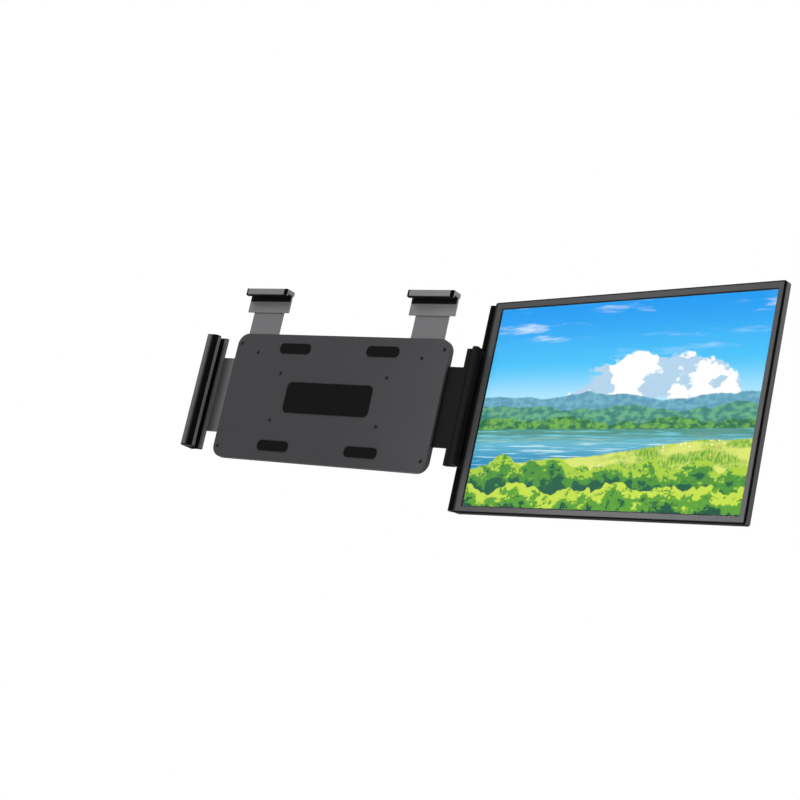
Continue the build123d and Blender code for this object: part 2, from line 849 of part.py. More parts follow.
def light_guide():
    x = (display_left - sheet_margin, display_right + sheet_margin)
    z = (display_bottom - light_bar_drop + sheet_gap, display_top + sheet_margin)
    return plate(rounded(x, z, opening_corner / 2), guide_y, guide_y + guide_thickness)


def light_bar():
    x = (display_left, display_right)
    top = display_bottom - light_bar_drop
    return block(x, (guide_y, guide_y + guide_thickness), (top - light_bar_height, top))


# Boards and sockets


def usb_outline():
    return SlotOverall(usb_width, usb_height)


def hdmi_outline():
    half = hdmi_width / 2
    rise = usb_height / 2
    points = [
        (-half, rise), (-half, -rise / 3), (hdmi_chamfer - half, -rise),
        (half - hdmi_chamfer, -rise), (half, -rise / 3), (half, rise),
    ]
    return drawn(points, [hdmi_corner] * len(points))


def board_area(area):
    """X and Z spans of a chip or connector on the main board."""
    inset, drop, width, height = area
    x = main_board_x[1] - inset
    z = main_board_top - drop
    return (x - width / 2, x + width / 2), (z - height / 2, z + height / 2)


def main_board():
    board = block(main_board_x, (board_y, board_rear_y), (board_low, main_board_top))
    sockets = [(usb_x[0], usb_width), (usb_x[1], usb_width), (hdmi_x, hdmi_width)]
    for x, width in sockets:
        half = width / 2 + socket_cut_gap
        z = (board_low, socket_high + socket_cut_gap)
        board -= block((x - half, x + half), (board_y, board_rear_y), z)
    for chip in (scaler_chip, power_chip, memory_chip):
        x, z = board_area(chip)
        board += block(x, (board_rear_y, board_rear_y + chip_height), z)
    x, z = board_area(panel_connector)
    board += block(x, (board_y - connector_height, board_y), z)
    return board - rods(pilot(board_screw), board_screws, board_y, board_rear_y)


def shield_can():
    x, z = board_area(shield_area)
    top = board_rear_y + shield_height
    inner_x = (x[0] + shield_sheet, x[1] - shield_sheet)
    inner_z = (z[0] + shield_sheet, z[1] - shield_sheet)
    return block(x, (board_rear_y, top), z) - block(inner_x, (board_rear_y, top - shield_sheet), inner_z)


def socket(outline, x, width):
    """Metal shell that opens downward, with the contact tongue inside it."""
    place = Pos(x, socket_y)
    shell = column(place * outline, socket_low, socket_high)
    shell -= column(place * offset(outline, -socket_sheet), socket_low, socket_high - socket_floor)
    half = width / 2 - contact_side_gap
    y = (socket_y - contact_thickness / 2, socket_y + contact_thickness / 2)
    return shell + block((x - half, x + half), y, (socket_low + contact_setback, socket_high))


def button_board():
    z = (button_board_top - button_board_height, button_board_top)
    return block(button_board_x, (board_y, board_rear_y), z)


def push_switch(x):
    half = switch_size / 2
    z = (switch_top - switch_size, switch_top)
    body = block((x - half, x + half), (board_rear_y, switch_rear_y), z)
    return chamfer(body.edges().filter_by(Axis.Y), switch_chamfer)


def push_button(x, length):
    """Pill-shaped cap with an inner flange that keeps it in the casing, and a stem for its switch."""
    place = Pos(x, button_y)
    button = column(place * SlotOverall(length, button_width), flange_low, case_top + button_proud)
    button = fillet(button.faces().sort_by(Axis.Z)[-1].edges(), button_proud / 2)
    flange = SlotOverall(length + 2 * (button_gap + button_flange), button_width + 2 * button_flange)
    button += column(place * flange, flange_low, flange_low + button_flange_thickness)
    stem = Pos(x, (board_rear_y + switch_rear_y) / 2) * Rectangle(button_stem, button_stem)
    return button + column(stem, flange_low - button_stem, flange_low)


# Ribbons


def panel_ribbon():
    """Flat cable from the main board's connector, over the board's edge and onto the tray."""
    on_board, past_edge, bend, on_tray = panel_ribbon_lead
    edge = main_board_x[1]
    near = board_y - 3 * ribbon_thickness
    far = tray_rear_y + ribbon_thickness / 2
    start = edge + past_edge
    points = [(edge - on_board, near), (start, near), (start + bend, far), (start + bend + on_tray, far)]
    points += [(x, y + ribbon_thickness) for x, y in reversed(points)]
    low, high = board_area(panel_connector)[1]
    section = make_face(Polyline(*points, close=True))
    return column(section, low + panel_ribbon_margin, high - panel_ribbon_margin)


def touch_ribbon():
    """Flat cable from the cell, under the tray and up behind it to the main board."""
    low = display_bottom - tray_margin - 2.5 * ribbon_thickness
    rear = board_y - 2 * ribbon_thickness
    high = board_low + touch_ribbon_rise
    points = [
        (cell_y, low), (rear, low), (rear, high), (rear - ribbon_thickness, high),
        (rear - ribbon_thickness, low + ribbon_thickness), (cell_y, low + ribbon_thickness),
    ]
    right = main_board_x[1] - touch_ribbon_inset
    return beam(make_face(Polyline(*points, close=True)), right - touch_ribbon_width, right)


def button_ribbon():
    left = main_board_x[0] + button_ribbon_inset
    low = main_board_top - button_ribbon_overlap
    high = button_board_top - button_board_height + button_ribbon_overlap
    y = (board_y - 2 * ribbon_thickness, board_y - ribbon_thickness)
    return block((left, left + button_ribbon_width), y, (low, high))


# Hinge


def hinge_leaf(side):
    """Knuckle on the hinge axis with a plate that is screwed inside the rear shell."""
    z = sorted((side * knuckle_low, side * hinge_length / 2))
    tall = sorted((side * knuckle_low, side * (knuckle_low + leaf_plate_height)))
    leaf = column(Circle(barrel_radius), *z)
    leaf += block((0, leaf_near_x + arm_corner), (leaf_front_y, leaf_rear_y), z)
    outline = rounded((leaf_near_x, leaf_near_x + leaf_plate_width), tall, arm_corner)
    leaf += plate(outline, leaf_front_y, leaf_rear_y)
    leaf -= column(Circle(shaft_radius), *z)
    return leaf - rods(pilot(board_screw), leaf_screws(side), leaf_front_y, leaf_rear_y)


def hinge_shaft(side):
    inner_end = barrel_half - sleeve_length
    z = sorted((side * inner_end, side * (hinge_length / 2 - shaft_recess)))
    pin = column(Circle(shaft_radius), *z)
    return chamfer(pin.edges().filter_by(GeomType.CIRCLE), shaft_radius / 5)


# Write the bracket

save("bracket_front_plate", front_plate())
save("bracket_rear_cover", rear_cover())
save("lid_rest_pads", *rest_pads())
save("bracket_screws", *placed(countersunk(case_screw, case_screw_length), case_bosses, plate_front))
save("fold_bumpers", *placed(bumper(), bumper_places, cover_rear))
hook_leaf_z = hook_guide_z + hook_leaf_rise
springs = [leaf_spring(hook_arm_rear, cover_inner, side * hook_middle, hook_leaf_z) for side in (-1, 1)]
springs.append(leaf_spring(side_arm_rear, cover_inner, left_leaf_inset - half_width, 0))
save("arm_leaf_springs", *springs)
save("right_hinge_arm", right_arm())
save("right_clip_liner", right_liner())
save("right_arm_screws", *placed(countersunk(arm_screw, tongue_screw_length), tongue_screws, side_arm_front))
save("hinge_friction_sleeves", friction_sleeve(1), friction_sleeve(-1))

# Write the sliding arms

save("left_arm_plate", left_arm())
save("left_clip", left_clip())
save("left_clip_liner", left_liner())
left_screw = from_rear(countersunk(arm_screw, left_screw_length))
save("left_clip_screws", *placed(left_screw, left_clip_screws, side_arm_rear))

hook_screw = from_rear(countersunk(arm_screw, hook_screw_length))
for side, word in ((-1, "left"), (1, "right")):
    save(f"hook_arm_plate_{word}", hook_arm(side))
    save(f"hook_clip_{word}", hook_clip(side))
    save(f"hook_clip_liner_{word}", hook_liner(side))
    save(f"hook_clip_screws_{word}", *placed(hook_screw, hook_screws(side), hook_arm_rear))

# Write the monitor

shell_screw = from_rear(countersunk(arm_screw, shell_screw_length))
leaf_screw = pan_head(board_screw, leaf_screw_length)
monitor = {
    "monitor_rear_shell": [rear_shell()],
    "monitor_front_bezel": [front_bezel()],
    "touch_cover_glass": [cover_glass()],
    "glass_gasket": [glass_gasket()],
    "lcd_cell": [around_display(cell_margin, cell_y, cell_y + cell_thickness, opening_corner / 2)],
    "diffuser_films": [around_display(sheet_margin, film_y, film_y + film_thickness, opening_corner / 2)],
    "light_guide_plate": [light_guide()],
    "led_light_bar": [light_bar()],
    "panel_tray": [panel_tray()],
    "main_board": [main_board()],
    "board_shield_can": [shield_can()],
    "usb_c_sockets": [socket(usb_outline(), x, usb_width) for x in usb_x],
    "mini_hdmi_socket": [socket(hdmi_outline(), hdmi_x, hdmi_width)],
    "button_board": [button_board()],
    "push_switches": [push_switch(x) for x in button_x],
    "panel_ribbon": [panel_ribbon()],
    "touch_ribbon": [touch_ribbon()],
    "button_ribbon": [button_ribbon()],
    "board_screws": placed(pan_head(board_screw, board_screw_length), board_screws, board_y),
    "rear_shell_screws": placed(shell_screw, shell_screws, back_y),
    "hinge_leaf_upper": [hinge_leaf(1)],
    "hinge_leaf_lower": [hinge_leaf(-1)],
    "hinge_shafts": [hinge_shaft(1), hinge_shaft(-1)],
    "hinge_leaf_screws": placed(leaf_screw, leaf_screws(1) + leaf_screws(-1), leaf_front_y),
    "power_button": [push_button(button_x[0], button_length[0])],
    "plus_button": [push_button(button_x[1], button_length[1])],
    "minus_button": [push_button(button_x[2], button_length[2])],
}
for name, pieces in monitor.items():
    save(name, *[monitor_place * piece for piece in pieces])
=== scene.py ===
import bmesh
import bpy
import json
import math
from mathutils import Euler, Matrix, Vector


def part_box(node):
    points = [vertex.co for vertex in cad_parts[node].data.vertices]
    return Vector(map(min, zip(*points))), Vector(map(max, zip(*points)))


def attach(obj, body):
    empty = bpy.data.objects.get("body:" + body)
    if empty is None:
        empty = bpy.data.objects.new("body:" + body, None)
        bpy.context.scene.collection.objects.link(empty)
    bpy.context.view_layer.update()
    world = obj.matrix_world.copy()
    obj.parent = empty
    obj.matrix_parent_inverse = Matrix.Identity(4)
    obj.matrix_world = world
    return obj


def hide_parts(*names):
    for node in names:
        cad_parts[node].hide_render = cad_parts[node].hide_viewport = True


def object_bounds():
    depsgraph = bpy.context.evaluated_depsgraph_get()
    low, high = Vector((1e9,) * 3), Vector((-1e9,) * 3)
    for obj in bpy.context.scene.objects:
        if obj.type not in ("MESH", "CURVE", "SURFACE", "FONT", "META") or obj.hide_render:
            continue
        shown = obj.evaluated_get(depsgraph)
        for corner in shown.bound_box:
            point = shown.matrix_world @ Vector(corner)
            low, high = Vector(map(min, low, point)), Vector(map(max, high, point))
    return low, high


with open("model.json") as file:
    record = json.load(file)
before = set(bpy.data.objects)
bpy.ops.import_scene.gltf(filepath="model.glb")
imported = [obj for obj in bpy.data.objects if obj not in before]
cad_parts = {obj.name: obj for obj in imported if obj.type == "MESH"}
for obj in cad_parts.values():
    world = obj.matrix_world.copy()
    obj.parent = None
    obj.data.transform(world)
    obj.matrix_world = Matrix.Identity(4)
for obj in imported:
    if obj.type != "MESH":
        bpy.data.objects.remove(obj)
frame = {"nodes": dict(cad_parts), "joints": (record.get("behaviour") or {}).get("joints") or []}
cad_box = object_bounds()
nodes = frame["nodes"]
scene = bpy.context.scene

# Sizes of the object that the looks need, in metres

rest_turn = math.radians(11.4)
hinge_joint = next(joint for joint in frame["joints"] if joint["name"] == "monitor_hinge")
hinge_place = Vector(hinge_joint["pos_m"])
display_left = 0.0182       # from the hinge axis
display_width = 0.3447
display_height = 0.2154
display_lift = 0.0036       # middle of the display above the middle of the hinge
bezel_right = 0.0078
bezel_top = 0.0086
bezel_bottom = 0.0080
bezel_front = -0.0070       # front face, from the hinge axis
bezel_near = 0.0062         # edge beside the hinge, from the hinge axis
display_low = display_lift - display_height / 2
case_low = display_low - bezel_bottom
case_high = display_low + display_height + bezel_top
case_far = display_left + display_width + bezel_right
left_lip_reach = 0.016      # edge of the left clip's lip, from the clip's outer face
hook_corner = 0.003

# Where the painted shade gives way to the plain colour: start and end of the change, in metres

bezel_face_fade = (0.00005, 0.0004)     # behind the bezel's front face
bezel_strip_fade = (0.0006, 0.0052)     # from the bezel's edge beside the hinge
bezel_edge_fade = (0.0011, 0.0021)      # in from the bezel's other edges
spine_fade = (0.0, 0.003)               # from the bezel's edge beside the hinge
underside_fade = (0.0, 0.002)           # above the casing's lower edge
clip_outer_fade = (0.0040, 0.0105)      # in from the left clip's outer face
clip_lip_fade = (-0.0008, -0.0004)      # from the edge of the left clip's lip
clip_end_fade = (0.0006, 0.0014)        # in from the left clip's ends
hook_end_fade = (0.0, 0.0015)           # in from the hook's front corners
hook_front_fade = (-0.0012, 0.0)        # back from the hook's front corners


def tint(red, green, blue):
    """Screen colour from 0 to 255, as the linear colour that a shader takes."""
    parts = []
    for value in (red, green, blue):
        share = value / 255
        parts.append(share / 12.92 if share <= 0.04045 else ((share + 0.055) / 1.055) ** 2.4)
    return (*parts, 1.0)


charcoal = tint(75, 75, 76)
shell_grey = tint(82, 82, 83)
clip_grey = tint(106, 106, 106)
hook_grey = tint(132, 132, 132)
# black is painted shade on the casing's edges, spine and underside, the left clip's inner round and ends
# and the hooks' front corners
black = tint(3, 3, 3)

# Shaders written as short expressions


class Shader:
    """One material and its nodes."""

    def __init__(self, name):
        self.material = bpy.data.materials.new(name)
        self.material.use_nodes = True
        self.tree = self.material.node_tree
        self.surface = self.tree.nodes["Principled BSDF"]

    def put(self, socket, value):
        if isinstance(value, bpy.types.NodeSocket):
            self.tree.links.new(value, socket)
        else:
            socket.default_value = value

    def set(self, **values):
        for word, value in values.items():
            self.put(self.surface.inputs[word.replace("_", " ")], value)

    def node(self, kind, **settings):
        made = self.tree.nodes.new(kind)
        for word, value in settings.items():
            setattr(made, word, value)
        return made

    def math(self, operation, first, second=0.0, third=0.0):
        made = self.node("ShaderNodeMath", operation=operation)
        for socket, value in zip(made.inputs, (first, second, third)):
            self.put(socket, value)
        return made.outputs[0]

    def smooth(self, value, low, high):
        """0 below low, 1 above high, with an eased step between."""
        made = self.node("ShaderNodeMapRange", interpolation_type="SMOOTHSTEP")
        self.put(made.inputs["Value"], value)
        self.put(made.inputs["From Min"], low)
        self.put(made.inputs["From Max"], high)
        return made.outputs["Result"]

    def fade(self, value, start, change):
        """0 before a change of colour and 1 after it, with the change measured from a start."""
        return self.smooth(value, start + change[0], start + change[1])

    def spread(self, value, low, high):
        """A texture's 0 to 1 as a span between two values."""
        made = self.node("ShaderNodeMapRange")
        self.put(made.inputs["Value"], value)
        self.put(made.inputs["To Min"], low)
        self.put(made.inputs["To Max"], high)
        return made.outputs["Result"]

    def mix(self, share, low, high):
        made = self.node("ShaderNodeMix", data_type="RGBA")
        self.put(made.inputs[0], share)
        self.put(made.inputs[6], low)
        self.put(made.inputs[7], high)
        return made.outputs[2]

    def tone(self, colour, factor):
        """A colour made lighter or darker by a factor."""
        made = self.node("ShaderNodeVectorMath", operation="SCALE")
        self.put(made.inputs[0], colour if isinstance(colour, bpy.types.NodeSocket) else colour[:3])
        self.put(made.inputs["Scale"], factor)
        return made.outputs[0]

    def both(self, first, second):
        return self.math("MULTIPLY", first, second)

    def other(self, share):
        """What is left of a share."""
        return self.math("SUBTRACT", 1.0, share)

    def join(self, x, y, z=0.0):
        made = self.node("ShaderNodeCombineXYZ")
        for socket, value in zip(made.inputs, (x, y, z)):
            self.put(socket, value)
        return made.outputs[0]

    def place(self):
        return self.node("ShaderNodeTexCoord").outputs["Object"]

    def split(self, vector):
        parts = self.node("ShaderNodeSeparateXYZ")
        self.put(parts.inputs[0], vector)
        return parts.outputs["X"], parts.outputs["Y"], parts.outputs["Z"]

    def from_hinge(self):
        """Place on the monitor, measured from the hinge axis along the monitor's own directions."""
        turned = self.node("ShaderNodeMapping", vector_type="TEXTURE")
        self.put(turned.inputs["Vector"], self.place())
        turned.inputs["Location"].default_value = hinge_place
        turned.inputs["Rotation"].default_value = (0.0, 0.0, -rest_turn)
        return self.split(turned.outputs[0])

    def stretch(self, vector, scale):
        made = self.node("ShaderNodeMapping")
        self.put(made.inputs["Vector"], vector)
        made.inputs["Scale"].default_value = scale
        return made.outputs[0]

    def noise(self, vector, scale, detail=2.0, rough=0.5):
        made = self.node("ShaderNodeTexNoise")
        self.put(made.inputs["Vector"], vector)
        made.inputs["Scale"].default_value = scale
        made.inputs["Detail"].default_value = detail
        made.inputs["Roughness"].default_value = rough
        return made.outputs["Fac"]

    def cells(self, vector, scale):
        made = self.node("ShaderNodeTexVoronoi")
        self.put(made.inputs["Vector"], vector)
        made.inputs["Scale"].default_value = scale
        return made

    def bump(self, height, distance, strength=1.0):
        made = self.node("ShaderNodeBump")
        self.put(made.inputs["Height"], height)
        made.inputs["Distance"].default_value = distance
        made.inputs["Strength"].default_value = strength
        self.put(self.surface.inputs["Normal"], made.outputs[0])


# Materials of the casing and the bracket


def moulded(shader, colour, rough, grain, lift=0.00003):
    """Spark-eroded mould grain with slight handling shine, over a plain colour or one with painted shade.
    """
    place = shader.place()
    fine = shader.noise(place, grain, 3.0, 0.6)
    broad = shader.noise(place, 18.0, 3.0, 0.55)
    mottle = shader.math("MULTIPLY_ADD", fine, 0.6, shader.math("MULTIPLY", broad, 0.4))
    shader.set(Base_Color=shader.tone(colour, shader.spread(mottle, 0.84, 1.14)))
    shader.set(Roughness=shader.spread(broad, rough - 0.05, rough + 0.07), Specular_IOR_Level=0.04)
    shader.bump(fine, lift, 0.6)
    return shader.material


def moulded_plastic(name, colour, rough, grain):
    """Moulded plastic of one colour."""
    return moulded(Shader(name), colour, rough, grain)


def bezel_plastic(name):
    """Charcoal face with a black rolled edge and a black strip beside the hinge, painted shade where the
    edges turn from the light and where the hinge shades the face.
    """
    shader = Shader(name)
    across, depth, up = shader.from_hinge()
    face = shader.other(shader.fade(depth, bezel_front, bezel_face_fade))
    face = shader.both(face, shader.fade(across, bezel_near, bezel_strip_fade))
    for edge, inward in ((case_far, -1.0), (case_high, -1.0), (case_low, 1.0)):
        along = across if edge == case_far else up
        from_edge = shader.math("MULTIPLY", shader.math("SUBTRACT", along, edge), inward)
        face = shader.both(face, shader.fade(from_edge, 0.0, bezel_edge_fade))
    return moulded(shader, shader.mix(face, black, charcoal), 0.42, 2600.0)


def shell_plastic(name):
    """Dark grey back and sides; the round spine beside the hinge and the underside are black, painted
    shade where they turn from the light.
    """
    shader = Shader(name)
    across, _, up = shader.from_hinge()
    past_spine = shader.fade(across, bezel_near, spine_fade)
    body = shader.both(past_spine, shader.fade(up, case_low, underside_fade))
    return moulded(shader, shader.mix(body, black, shell_grey), 0.5, 2000.0)


def left_clip_plastic(name):
    """Grey outer face that runs into a black inner round, with a bare grey edge and black ends; the black
    is painted shade where the clip turns from the light.
    """
    shader = Shader(name)
    across, _, up = shader.split(shader.place())
    low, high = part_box("left_clip")
    inward = shader.math("SUBTRACT", across, low[0])
    outer = shader.other(shader.fade(inward, 0.0, clip_outer_fade))
    edge = shader.fade(inward, left_lip_reach, clip_lip_fade)
    bare = shader.math("MAXIMUM", outer, edge)
    from_end = shader.math("SUBTRACT", (high[2] - low[2]) / 2, shader.math("ABSOLUTE", up))
    bare = shader.both(bare, shader.fade(from_end, 0.0, clip_end_fade))
    return moulded(shader, shader.mix(bare, black, clip_grey), 0.45, 2300.0)


def hook_plastic(name, node):
    """Grey hook with black rounded front corners, painted shade where the rounds turn from the light."""
    shader = Shader(name)
    across, depth, _ = shader.split(shader.place())
    low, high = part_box(node)
    from_middle = shader.math("SUBTRACT", across, (low[0] + high[0]) / 2)
    from_end = shader.math("SUBTRACT", (high[0] - low[0]) / 2, shader.math("ABSOLUTE", from_middle))
    from_front = shader.math("SUBTRACT", depth, low[1])
    near_end = shader.other(shader.fade(from_end, hook_corner, hook_end_fade))
    near_front = shader.other(shader.fade(from_front, hook_corner, hook_front_fade))
    corner = shader.both(near_end, near_front)
    return moulded(shader, shader.mix(corner, hook_grey, black), 0.45, 2300.0)


def soft_rubber(name, colour):
    """Dull rubber with fine dust in its pores."""
    shader = Shader(name)
    place = shader.place()
    pores = shader.cells(place, 2600.0).outputs["Distance"]
    dust = shader.noise(place, 900.0, 4.0, 0.65)
    dusty = tuple(part + 0.005 for part in colour[:3]) + (1.0,)
    shader.set(Base_Color=shader.mix(shader.smooth(dust, 0.45, 0.75), colour, dusty))
    shader.set(Roughness=shader.spread(dust, 0.72, 0.9), Specular_IOR_Level=0.12)
    shader.bump(pores, 0.00003, 0.7)
    return shader.material


def sheet_metal(name, colour, rough, along, metallic=1.0):
    """Rolled or brushed metal with fine lines along one direction."""
    shader = Shader(name)
    place = shader.place()
    lines = shader.noise(shader.stretch(place, along), 900.0, 4.0, 0.7)
    cloud = shader.noise(place, 26.0, 3.0, 0.5)
    darker = tuple(0.8 * part for part in colour[:3]) + (1.0,)
    shader.set(Base_Color=shader.mix(lines, darker, colour), Metallic=metallic)
    wear = shader.math("MULTIPLY_ADD", lines, 0.5, shader.math("MULTIPLY", cloud, 0.5))
    shader.set(Roughness=shader.spread(wear, rough - 0.08, rough + 0.12))
    shader.bump(lines, 0.00001, 0.5)
    return shader.material


def blasted_metal(name, colour, rough):
    """Bead-blasted and black-coated casting."""
    shader = Shader(name)
    place = shader.place()
    beads = shader.noise(place, 2400.0, 2.0, 0.7)
    cloud = shader.noise(place, 30.0, 3.0, 0.5)
    lighter = tuple(1.8 * part for part in colour[:3]) + (1.0,)
    shader.set(Base_Color=shader.mix(beads, colour, lighter), Specular_IOR_Level=0.12)
    shader.set(Roughness=shader.spread(cloud, rough - 0.06, rough + 0.08))
    shader.bump(beads, 0.00003, 0.6)
    return shader.material


def circuit_board(name):
    """Green solder mask over copper tracks."""
    shader = Shader(name)
    place = shader.place()
    tracks = shader.cells(shader.stretch(place, (1.0, 0.0, 0.35)), 420.0).outputs["Distance"]
    lines = shader.smooth(tracks, 0.38, 0.46)
    shader.set(Base_Color=shader.mix(lines, tint(16, 72, 40), tint(42, 118, 70)))
    shader.set(Roughness=shader.spread(shader.noise(place, 300.0), 0.3, 0.5))
    shader.bump(lines, 0.00004, 0.5)
    return shader.material


def amber_film(name):
    """Polyimide ribbon with its copper lines showing through."""
    shader = Shader(name)
    place = shader.place()
    lines = shader.noise(shader.stretch(place, (1.0, 1.0, 0.02)), 1500.0, 1.0)
    copper = shader.smooth(lines, 0.45, 0.55)
    shader.set(Base_Color=shader.mix(copper, tint(176, 104, 30), tint(140, 70, 18)))
    shader.set(Roughness=shader.spread(lines, 0.28, 0.42))
    return shader.material


def pale_film(name, colour, rough):
    """White or clear sheet of the light stack, with fine print dots."""
    shader = Shader(name)
    dots = shader.cells(shader.place(), 900.0).outputs["Distance"]
    shader.set(Base_Color=shader.mix(shader.smooth(dots, 0.15, 0.3), tint(255, 255, 255), colour))
    shader.set(Roughness=shader.spread(dots, rough, rough + 0.1))
    return shader.material


def touch_glass(name):
    """Clear cover glass with an anti-glare coat and a faint bloom of finger grease."""
    shader = Shader(name)
    place = shader.place()
    smear = shader.noise(shader.stretch(place, (1.0, 1.0, 0.5)), 24.0, 4.0, 0.6)
    shader.set(Base_Color=(1.0, 1.0, 1.0, 1.0), Transmission_Weight=1.0, IOR=1.18)
    shader.set(Roughness=shader.spread(shader.smooth(smear, 0.55, 0.8), 0.0, 0.03))
    return shader.material


# The picture on the screen: a made-up lake between wooded ridges

picture_aspect = display_width / display_height
picture_blur = 0.0005       # half the width of the picture's edge, as a share of its height
screen_glow = 1.05


class Picture(Shader):
    """Flat landscape painted from noise: across runs 0 to 1.6, up runs 0 to 1."""

    def __init__(self, name):
        super().__init__(name)
        across, _, up = self.from_hinge()
        from_left = self.math("SUBTRACT", across, display_left)
        from_low = self.math("SUBTRACT", up, display_low)
        self.across = self.math("DIVIDE", from_left, display_height)
        self.up = self.math("DIVIDE", from_low, display_height)

    def flat(self, x_scale, y_scale, seed):
        """Picture coordinates, stretched and moved to a fresh part of the noise."""
        x = self.math("MULTIPLY_ADD", self.across, x_scale, seed)
        y = self.math("MULTIPLY_ADD", self.up, y_scale, seed * 0.37)
        return self.join(x, y, seed)

    def skyline(self, base, rise, size, seed, detail=4.0):
        """Height of a ridge above the picture's lower edge, along the picture."""
        wave = self.noise(self.join(self.across, seed, 0.0), size, detail, 0.55)
        return self.math("MULTIPLY_ADD", wave, rise, base)

    def below(self, line, soft=0.004):
        """1 under a line, 0 over it."""
        over = self.math("SUBTRACT", self.up, line)
        return self.other(self.smooth(over, -soft, soft))

    def red(self, cells):
        """A chance number from 0 to 1 for each cell."""
        parts = self.node("ShaderNodeSeparateColor")
        self.put(parts.inputs[0], cells.outputs["Color"])
        return parts.outputs[0]


def sky(art):
    """Blue that pales towards the horizon, with thin streaks of high cloud."""
    high = art.mix(art.smooth(art.up, 0.45, 0.72), tint(190, 234, 250), tint(72, 194, 246))
    high = art.mix(art.smooth(art.up, 0.64, 1.0), high, tint(8, 152, 238))
    streaks = art.noise(art.flat(1.3, 9.0, 3.1), 1.6, 5.0, 0.6)
    streaks = art.both(art.smooth(streaks, 0.54, 0.74), art.smooth(art.up, 0.68, 0.86))
    return art.mix(art.math("MULTIPLY", streaks, 0.75), high, tint(240, 249, 253))


def clouds(art, colour):
    """Heaped clouds over the far shore, lit from the left."""
    puff = art.noise(art.flat(1.0, 1.5, 7.7), 4.2, 6.0, 0.56)
    shade = art.noise(art.flat(1.0, 1.5, 7.62), 4.2, 6.0, 0.56)
    bank = art.both(art.smooth(art.up, 0.46, 0.55), art.other(art.smooth(art.up, 0.60, 0.84)))
    middle = art.math("ABSOLUTE", art.math("SUBTRACT", art.across, 1.02))
    bank = art.both(bank, art.other(art.smooth(middle, 0.25, 0.62)))
    mass = art.smooth(art.math("MULTIPLY_ADD", bank, 0.42, puff), 0.70, 0.75)
    lit = art.smooth(art.math("SUBTRACT", puff, shade), -0.02, 0.03)
    white = art.mix(lit, tint(176, 208, 232), tint(255, 255, 252))
    return art.mix(mass, colour, white)


def ridges(art, colour):
    """Wooded ridges, each nearer one lower, greener and rougher at its edge."""
    # Lowest level, rise, size of the waves, place in the noise, lit colour, shaded colour
    layers = (
        (0.47, 0.15, 2.1, 1.7, tint(112, 176, 196), tint(88, 150, 178)),
        (0.40, 0.17, 2.9, 5.3, tint(104, 172, 132), tint(58, 130, 122)),
        (0.35, 0.15, 3.7, 9.1, tint(112, 176, 76), tint(40, 112, 76)),
    )
    for base, rise, size, seed, light, dark in layers:
        line = art.skyline(base, rise, size, seed, 6.0)
        leaves = art.noise(art.flat(1.0, 1.6, seed), 26.0, 4.0, 0.6)
        colour = art.mix(art.below(line), colour, art.mix(art.smooth(leaves, 0.4, 0.62), dark, light))
    return colour


def lake(art, colour):
    """Still water that takes the sky's colour, with long ripples."""
    shore = art.skyline(0.37, 0.02, 2.0, 13.0)
    ripples = art.noise(art.flat(1.0, 26.0, 2.2), 3.2, 4.0, 0.6)
    deep = art.mix(art.smooth(art.up, 0.2, 0.4), tint(30, 138, 184), tint(128, 210, 226))
    water = art.mix(art.smooth(ripples, 0.5, 0.68), deep, tint(196, 234, 240))
    hung = art.both(art.smooth(art.up, 0.29, 0.365), art.smooth(ripples, 0.36, 0.5))
    water = art.mix(art.math("MULTIPLY", hung, 0.8), water, tint(52, 122, 96))
    return art.mix(art.below(shore, 0.002), colour, water)


def meadow(art, colour):
    """Near bank with mown bands and drifts of flowers."""
    slope = art.math("MULTIPLY_ADD", art.across, 0.10, 0.13)
    bank = art.math("ADD", slope, art.skyline(0.0, 0.10, 1.6, 21.0))
    blades = art.noise(art.flat(3.0, 1.0, 4.0), 34.0, 4.0, 0.65)
    broad = art.noise(art.flat(1.0, 3.0, 6.0), 4.0, 3.0, 0.5)
    grass = art.mix(art.smooth(blades, 0.38, 0.64), tint(96, 160, 48), tint(186, 214, 84))
    grass = art.mix(art.smooth(broad, 0.46, 0.6), grass, tint(214, 226, 112))
    spots = art.cells(art.flat(1.0, 1.7, 8.0), 44.0)
    drift = art.smooth(art.noise(art.flat(1.0, 2.4, 17.0), 4.6, 2.0), 0.50, 0.58)
    petals = art.both(drift, art.other(art.smooth(spots.outputs["Distance"], 0.2, 0.3)))
    bloom = art.mix(art.smooth(art.red(spots), 0.45, 0.55), tint(250, 250, 240), tint(250, 214, 74))
    return art.mix(art.below(bank), colour, art.mix(petals, grass, bloom))


def shrubs(art, colour):
    """Rows of clipped shrubs in the foreground, each clump lit from above and darker below."""
    # Lowest level, rise, clumps in a picture's height, place in the noise, three colours
    rows = (
        (0.17, 0.12, 7.0, 31.0, tint(168, 206, 62), tint(74, 146, 54), tint(24, 92, 66)),
        (0.05, 0.13, 5.0, 43.0, tint(194, 220, 72), tint(88, 158, 50), tint(20, 84, 58)),
    )
    for base, rise, count, seed, light, mid, dark in rows:
        clumps = art.cells(art.flat(1.0, 0.9, seed), count)
        tufts = art.cells(art.flat(1.0, 1.0, seed + 3.0), 5.0 * count)
        leaves = art.noise(art.flat(1.0, 1.3, seed), 60.0, 4.0, 0.65)
        round_top = art.math("MULTIPLY", art.other(clumps.outputs["Distance"]), 0.11)
        ragged = art.math("MULTIPLY_ADD", tufts.outputs["Distance"], -0.030, round_top)
        line = art.math("ADD", ragged, art.skyline(base - 0.05, rise, 3.1, seed, 3.0))
        depth = art.math("SUBTRACT", line, art.up)
        sprays = art.noise(art.flat(1.0, 1.2, seed + 5.0), 15.0, 5.0, 0.62)
        light_share = art.math("MULTIPLY_ADD", sprays, 0.36, art.math("MULTIPLY", leaves, 0.14))
        tone = art.math("SUBTRACT", light_share, depth)
        leaf = art.mix(art.smooth(tone, 0.145, 0.155), dark, mid)
        leaf = art.mix(art.smooth(tone, 0.205, 0.220), leaf, light)
        colour = art.mix(art.below(line, 0.002), colour, leaf)
    return colour


